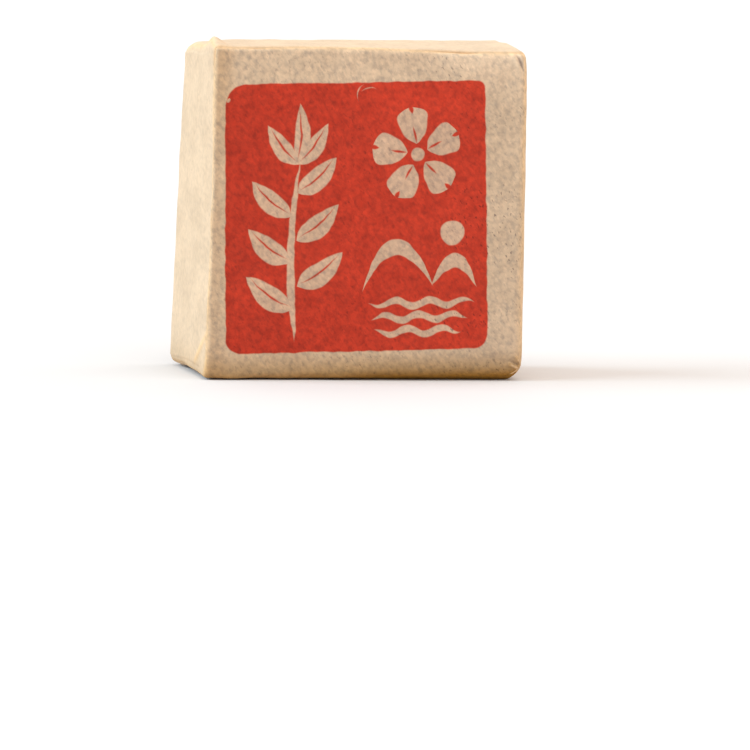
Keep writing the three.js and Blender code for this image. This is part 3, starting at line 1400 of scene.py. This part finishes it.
    def painted_light_and_marks(self, colour: Link, sheet: Link, fold: Link, calm: Link, ink: Link) -> Link:
        """The paper with its painted light and shade, and its specks: painted shade by the left edge and
        along the foot, painted light over the plain paper, painted highlights on folds and ridges, and
        painted shade in grooves.

        Args:
            colour: the bare paper.
            sheet: places on the unfolded sheet.
            fold: the mask for painted highlights on folds and ridges, below 0 for painted shade in
                grooves.
            calm: how strong specks and zones are, up to 1.
            ink: where the red lies.

        Returns:
            The colour.
        """
        across, up = sheet.maker.split(sheet)
        # Painted shade beside the face's left edge.
        colour = self.tint(colour, self.left_margin_painted_shade.share(across, up), self.left_margin_painted_shade.tint)
        # Painted light and shade across the plain paper.
        for zone in self.plain_painted_light_zones:
            colour = self.tint(colour, zone.share(across, up) * calm * (1 - ink), zone.tint)
        ridge = self.ridge.over(fold)
        # Painted shade along the foot, cleared on crease ridges.
        foot = self.foot.share(across, up) * (1 - ridge * self.ridge_clears_foot_shade)
        colour = self.tint(colour, foot, self.foot.tint)
        specks = self.specks.share(sheet) * self.speck_patches.share(sheet) * calm
        specks = specks * self.speck_zone.share(across, up)
        # Specks, then painted highlights on folds, lighter crease ridges (partly painted highlight,
        # partly whitened creases) and painted shade in grooves.
        for share, tint in (
            (specks, self.speck_zone.tint),
            (fold * 2.0, self.fold_highlight_tint),
            (ridge, self.ridge_highlight_tint),
            (fold * -1.0, self.groove_shade_tint),
        ):
            colour = self.tint(colour, share, tint)
        return colour

    def inked(self, colour: Link, sheet: Link, ink: Link) -> Link:
        """The paper with its print.

        Args:
            colour: the paper with its painted light and specks.
            sheet: places on the unfolded sheet.
            ink: where the red lies.

        Returns:
            The colour.
        """
        across, up = sheet.maker.split(sheet)
        colour = self.tint(colour, ink, self.ink_tint)
        # Painted light and shade on the red.
        for zone in self.ink_painted_light_zones:
            colour = self.tint(colour, ink * zone.share(across, up), zone.tint)
        return self.tint(colour, ink * self.ink_blotches.share(sheet), self.blotch_tint)

    def material(self, printed: PrintedSquare) -> bpy.types.Material:
        """The paper as a material.

        Args:
            printed: what is printed on the sheet.

        Returns:
            The material.
        """
        material = bpy.data.materials.new(self.name)
        material.use_nodes = True
        maker = NodeMaker(material.node_tree)
        shader = material.node_tree.nodes["Principled BSDF"]
        sheet = maker.add("ShaderNodeUVMap", {"uv_map": "Sheet"})
        # The mask for painted light on folds and creases.
        fold = maker.add("ShaderNodeAttribute", {"attribute_name": "fold"}, output="Fac")
        across, up = maker.split(sheet)
        ink = printed.ink(sheet)
        beside = abs(across).ease(*self.calm_beside)
        calm = 1 - beside.most(up.ease(*self.calm_above)) * self.calm
        colour = self.painted_light_and_marks(self.mottled(sheet, calm), sheet, fold, calm, ink)
        colour = self.inked(colour, sheet, ink)
        bump = maker.add("ShaderNodeBump", None, {
            "Height": (self.tooth.noise(sheet) + self.fibres.noise(sheet)) * 0.5,
            "Strength": self.tooth_strength,
            "Distance": self.tooth_height,
        })
        roughness = self.roughness - ink * self.ink_smoothness
        for link, socket in ((colour, "Base Color"), (bump, "Normal"), (roughness, "Roughness")):
            maker.tree.links.new(link.socket, shader.inputs[socket])
        shader.inputs["Specular IOR Level"].default_value = self.gloss
        return material


@dataclass(frozen=True)
class FarLight:
    """A soft light from far away.

    way is the direction to the light, share what a matt white surface square to it shines with,
    and spread how wide it looks, in degrees.
    """

    name: str
    way: tuple[float, float, float]
    share: float
    spread: float
    colour: tuple[float, float, float]

    def make(self, target: Vector) -> None:
        """Makes the light.

        Args:
            target: what it shines on.
        """
        data = bpy.data.lights.new(self.name, "SUN")
        data.energy, data.color = self.share * math.pi, self.colour
        data.angle = math.radians(self.spread)
        light = bpy.data.objects.new(self.name, data)
        way = Vector(self.way).normalized()
        light.location = target + way
        light.rotation_euler = way.to_track_quat("Z", "Y").to_euler()
        bpy.context.scene.collection.objects.link(light)


@dataclass(frozen=True)
class Studio:
    """The pale floor, the soft lights and the camera."""

    floor_size: float = 16.0
    floor_colour: tuple[float, float, float] = (0.605, 0.55, 0.515)
    floor_roughness: float = 0.9
    floor_gloss: float = 0.1
    sky: float = 1.0
    eye: tuple[float, float, float] = (-214.16, -707.32, 94.63)
    look: tuple[float, float, float] = (0.29402, 0.94729, -0.12728)
    roll: float = 2.51
    lens: float = 204.69
    sensor: float = 36.0
    seen: tuple[float, float] = (0.05, 50.0)
    lights: tuple[FarLight, ...] = (
        FarLight("key", (-1.0, -0.05, 0.6), 1.24, 36.0, (0.6, 0.83, 1.0)),
        FarLight("right_fill", (1.0, 0.15, 0.6), 0.25, 50.0, (1.0, 0.97, 0.93)),
        FarLight("overhead", (0.05, -0.4, 1.0), 0.32, 60.0, (1.0, 0.99, 0.97)),
    )

    def make_floor(self) -> None:
        """A plain pale floor."""
        half = self.floor_size / 2
        mesh = bpy.data.meshes.new("floor")
        ring = [(-half, -half, 0.0), (half, -half, 0.0), (half, half, 0.0), (-half, half, 0.0)]
        mesh.from_pydata(ring, [], [(0, 1, 2, 3)])
        floor = bpy.data.objects.new("floor", mesh)
        bpy.context.scene.collection.objects.link(floor)
        material = bpy.data.materials.new("floor_matt")
        material.use_nodes = True
        shader = material.node_tree.nodes["Principled BSDF"]
        shader.inputs["Base Color"].default_value = (*self.floor_colour, 1.0)
        shader.inputs["Roughness"].default_value = self.floor_roughness
        shader.inputs["Specular IOR Level"].default_value = self.floor_gloss
        mesh.materials.append(material)

    def make_camera(self) -> None:
        """The camera, where the photograph was taken from, with its slight roll."""
        data = bpy.data.cameras.new("camera")
        data.lens, data.sensor_width = self.lens, self.sensor
        data.clip_start, data.clip_end = self.seen
        camera = bpy.data.objects.new("camera", data)
        ahead = Vector(self.look).normalized()
        right = ahead.cross(Vector((0.0, 0.0, 1.0))).normalized()
        upward = right.cross(ahead)
        turn = math.radians(self.roll)
        side = right * math.cos(turn) + upward * math.sin(turn)
        top = upward * math.cos(turn) - right * math.sin(turn)
        axes = Matrix((side, top, -ahead)).transposed().to_4x4()
        camera.matrix_world = Matrix.Translation(Vector(self.eye) * MM) @ axes
        bpy.context.scene.collection.objects.link(camera)
        bpy.context.scene.camera = camera

    def make(self, target: Vector) -> None:
        """Sets the whole studio up.

        Args:
            target: what the lights shine on.
        """
        scene = bpy.context.scene
        scene.view_settings.view_transform = "Standard"
        scene.world = bpy.data.worlds.new("studio")
        scene.world.use_nodes = True
        background = scene.world.node_tree.nodes["Background"]
        background.inputs["Color"].default_value = (1.0, 1.0, 1.0, 1.0)
        background.inputs["Strength"].default_value = self.sky
        self.make_floor()
        for light in self.lights:
            light.make(target)
        self.make_camera()
        LOG.info("studio: %d lights", len(self.lights))


def build_patches() -> dict[str, list[Patch]]:
    """Works out the three pieces of paper.

    Returns:
        The patches of each piece, by its name.
    """
    form = BrickForm()
    right = Flap(form, Side.RIGHT, tail_end=-7.0, over_other=True, lifts=((20.6, 47.2, 0.5, 2.2),))
    left = Flap(form, Side.LEFT, tail_end=3.0, over_other=False, edge_lift=0.0, edge_highlight=0.0)
    return {
        "paper_body": WrappedBody(form).patches(),
        "left_flap": left.patches(),
        "right_flap": right.patches(),
    }


def form_offset(pieces: list[list[Patch]], low: Vector, high: Vector) -> np.ndarray:
    """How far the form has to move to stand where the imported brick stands.

    Args:
        pieces: the patches of each piece.
        low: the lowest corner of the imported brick, in metres.
        high: its highest corner.

    Returns:
        The move in millimetres.
    """
    points = np.concatenate([patch.points.reshape(-1, 3) for piece in pieces for patch in piece])
    least, most = points.min(axis=0), points.max(axis=0)
    centre = (np.array(low) + np.array(high)) / 2 / MM
    offset = centre - (least + most) / 2
    offset[2] = low.z / MM - least[2]
    return offset


def main() -> None:
    """Builds the studio, the wrapped body and its two flaps."""
    logging.basicConfig(level=logging.INFO, format="%(name)s: %(message)s")
    low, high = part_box(NODE)
    Studio().make((low + high) / 2)
    pieces = build_patches()
    offset = form_offset(list(pieces.values()), low, high)
    paper = PaperAndPaintedLight("tan_paper").material(PrintedSquare())
    for name, patches in pieces.items():
        PaperPiece(name, patches, offset).make(paper)


if __name__ == "__main__":
    main()
